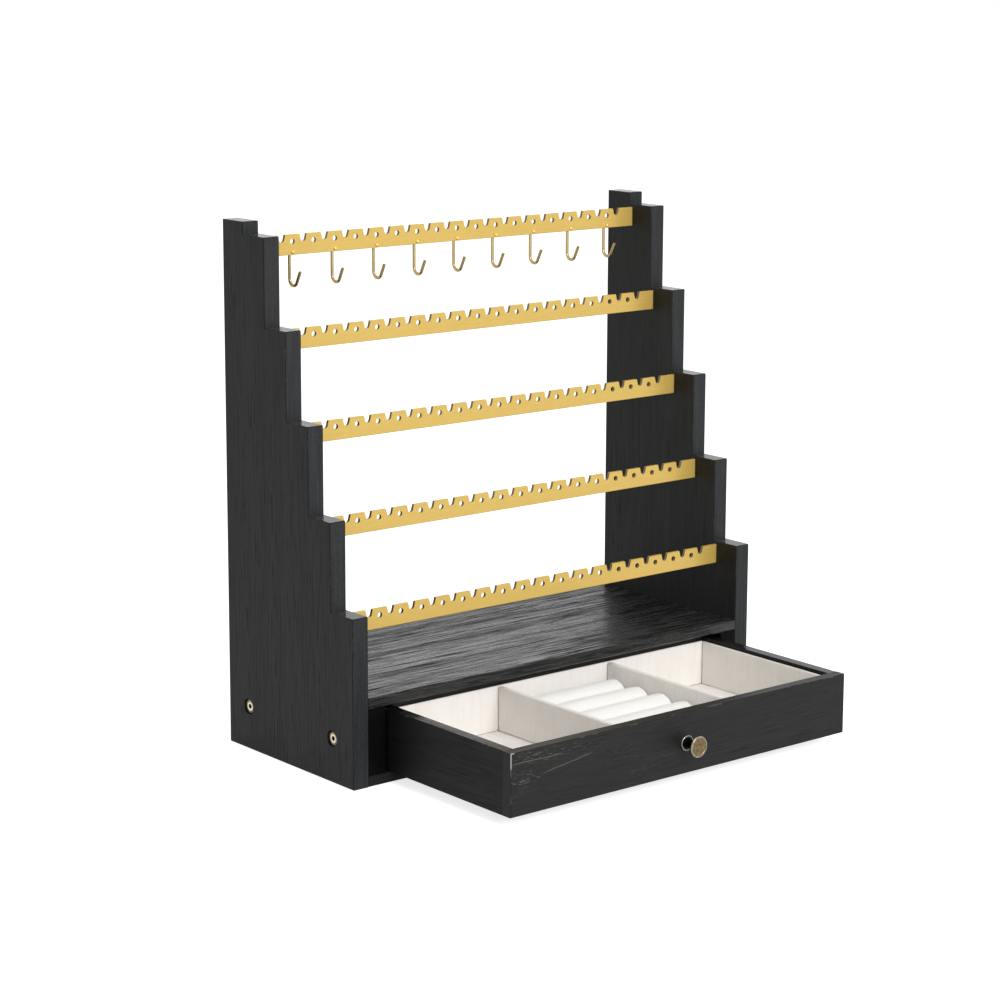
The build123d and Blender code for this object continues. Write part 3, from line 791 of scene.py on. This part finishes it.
def stuff_roll(obj):
    """Blows the roll up as cloth with pressure inside, and keeps each point near to where it was."""
    scene = bpy.context.scene
    remesh = obj.modifiers.new("remesh", "REMESH")
    remesh.mode = "VOXEL"
    remesh.voxel_size = VOXEL
    apply_modifiers(obj)
    start = [v.co.copy() for v in obj.data.vertices]
    cloth = obj.modifiers.new("cloth", "CLOTH")
    cloth.settings.use_pressure = True
    cloth.settings.uniform_pressure_force = CLOTH_PRESSURE
    cloth.settings.effector_weights.gravity = 0.0
    cloth.settings.mass = CLOTH_MASS
    cloth.settings.tension_stiffness = CLOTH_STIFFNESS
    cloth.settings.compression_stiffness = CLOTH_STIFFNESS
    cloth.settings.bending_stiffness = CLOTH_BENDING
    for step in range(1, CLOTH_STEPS + 1):
        scene.frame_set(step)
    apply_modifiers(obj)
    scene.frame_set(1)
    for vertex, was in zip(obj.data.vertices, start):
        move = vertex.co - was
        if move.length > LONGEST_MOVE:
            vertex.co = was + move.normalized() * LONGEST_MOVE


def crease_roll(mesh, number, low, high):
    """Gives one roll its own fine creases and soft lumps, and keeps it inside its CAD box."""
    centre = (low + high) / 2
    axis_z = centre.z + CREASE_AXIS_LIFT
    for vertex in mesh.vertices:
        p = vertex.co
        around = Vector((0, p.y - centre.y, p.z - axis_z))
        out = around.normalized() if around.length > TINY_RADIUS else Vector((0, 0, 1))
        crease = noise.noise(Vector((
            p.x * CREASE_SCALE_ALONG + number * CREASE_STEP, p.y * CREASE_SCALE_ROUND,
            p.z * CREASE_SCALE_ROUND)))
        lump = noise.noise(Vector((
            p.x * LUMP_SCALE_ALONG + number * LUMP_STEP_ALONG, number * LUMP_STEP_ASIDE,
            p.z * LUMP_SCALE_UP)))
        p += out * (crease * CREASE_DEPTH + lump * LUMP_DEPTH)
        p.x = min(max(p.x, low.x + CLOTH_GAP), high.x - CLOTH_GAP)
        p.y = min(max(p.y, low.y + CLOTH_GAP), high.y - CLOTH_GAP)
        p.z = min(max(p.z, low.z + CLOTH_GAP), high.z)
        vertex.co = p


first_low, first_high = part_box("ring_roll_1")
roll_bm = bmesh.new()
roll_shape(roll_bm, first_low, first_high)
seed_roll = mesh_object("roll_seed", roll_bm)
bpy.context.view_layer.update()
stuff_roll(seed_roll)
seed_mesh = seed_roll.data
bpy.data.objects.remove(seed_roll)
first_centre = (first_low + first_high) / 2

for number in range(1, ROLL_COUNT + 1):
    cad_node = f"ring_roll_{number}"
    low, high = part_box(cad_node)
    mesh = seed_mesh.copy()
    mesh.transform(Matrix.Translation((low + high) / 2 - first_centre))
    obj = add_object(f"padded_roll_{number}", mesh)
    smooth = obj.modifiers.new("smooth", "SUBSURF")
    smooth.levels = smooth.render_levels = 1
    bpy.context.view_layer.update()
    apply_modifiers(obj)
    crease_roll(obj.data, number, low, high)
    shade_smooth(obj.data)
    obj.data.materials.clear()
    obj.data.materials.append(white)
    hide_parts(cad_node)
    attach(obj, "drawer")

# Floor, which keeps a soft shadow and otherwise shows white
FLOOR_SIZE = 6.0
FLOOR_DROP = 0.0002
FLOOR_FIXED = {"Base Color": (0.72, 0.72, 0.72, 1), "Roughness": 0.95, "Specular IOR Level": 0.0}
FLOOR_GLOW_TO_CAMERA, FLOOR_GLOW_REFLECTED = 0.75, 0.33
WHITE_LIGHT = (1, 1, 1, 1)

floor_bm = bmesh.new()
bmesh.ops.create_grid(floor_bm, x_segments=2, y_segments=2, size=FLOOR_SIZE)
floor = mesh_object("floor", floor_bm)
floor.location.z = -FLOOR_DROP
floor_mat, tree, bsdf = new_material("pale_floor")
set_fixed(bsdf, FLOOR_FIXED)
seen = node(tree, "ShaderNodeLightPath").outputs
to_camera = seen["Is Camera Ray"]
reflected = larger(tree, seen["Is Glossy Ray"], seen["Is Transmission Ray"])
strength = larger(tree, times(tree, to_camera, FLOOR_GLOW_TO_CAMERA),
                  times(tree, reflected, FLOOR_GLOW_REFLECTED))
glow = node(tree, "ShaderNodeEmission", {"Color": WHITE_LIGHT, "Strength": strength})
both = node(tree, "ShaderNodeAddShader", {0: bsdf.outputs["BSDF"], 1: glow.outputs[0]})
choose = node(tree, "ShaderNodeMixShader", {
    0: larger(tree, to_camera, reflected), 1: bsdf.outputs["BSDF"], 2: both.outputs[0]})
tree.links.new(choose.outputs[0], tree.nodes["Material Output"].inputs["Surface"])
floor.data.materials.append(floor_mat)

# White surroundings, which are brighter where they are seen or mirrored than where they light the object
WORLD_LIGHT, WORLD_SHOWN = 0.63, 1.0

world = bpy.data.worlds.new("studio")
bpy.context.scene.world = world
world.use_nodes = True
tree = world.node_tree
tree.nodes.clear()
seen = node(tree, "ShaderNodeLightPath").outputs
direct = larger(tree, seen["Is Camera Ray"], seen["Is Glossy Ray"])
direct = larger(tree, direct, seen["Is Transmission Ray"])
sky = node(tree, "ShaderNodeBackground", {
    "Color": WHITE_LIGHT, "Strength": between(tree, direct, WORLD_LIGHT, WORLD_SHOWN)})
node(tree, "ShaderNodeOutputWorld", {"Surface": sky.outputs[0]})


# Soft lamps: one before the object and above it, and a weak one overhead
def lamp(name, place, target, size, watts):
    data = bpy.data.lights.new(name, "AREA")
    data.shape = "SQUARE"
    data.size = size
    data.energy = watts
    obj = add_object(name, data)
    obj.location = place
    obj.rotation_euler = (Vector(target) - Vector(place)).to_track_quat("-Z", "Y").to_euler()


lamp("key", place=(-0.10, -1.78, 1.02), target=(0, 0, 0.12), size=0.9, watts=26)
lamp("top", place=(-0.2, 0.2, 1.9), target=(0, -0.05, 0.1), size=1.1, watts=2)

# Camera at the photograph's place, with its angles in degrees and its sensor in millimetres
CAMERA_PLACE = (-1.10637, -1.35312, 0.51543)
CAMERA_HEADING, CAMERA_TILT, CAMERA_ROLL = -39.346, -10.776, 0.207
FOCAL_PIXELS, PICTURE_PIXELS = 2706.8, 1000
SENSOR_WIDTH = 36.0
SHIFT_DOWN = 0.05
CLIP_START, CLIP_END = 0.05, 50

camera_data = bpy.data.cameras.new("camera")
camera = add_object("camera", camera_data)
camera_data.sensor_width = SENSOR_WIDTH
camera_data.lens = FOCAL_PIXELS / PICTURE_PIXELS * SENSOR_WIDTH
camera_data.shift_y = -SHIFT_DOWN
camera_data.clip_start, camera_data.clip_end = CLIP_START, CLIP_END
turn = (Matrix.Rotation(radians(CAMERA_HEADING), 3, "Z")
        @ Matrix.Rotation(radians(90 + CAMERA_TILT), 3, "X")
        @ Matrix.Rotation(radians(CAMERA_ROLL), 3, "Z"))
camera.location = CAMERA_PLACE
camera.rotation_euler = turn.to_euler()
bpy.context.scene.camera = camera

bpy.context.scene.view_settings.view_transform = "Standard"
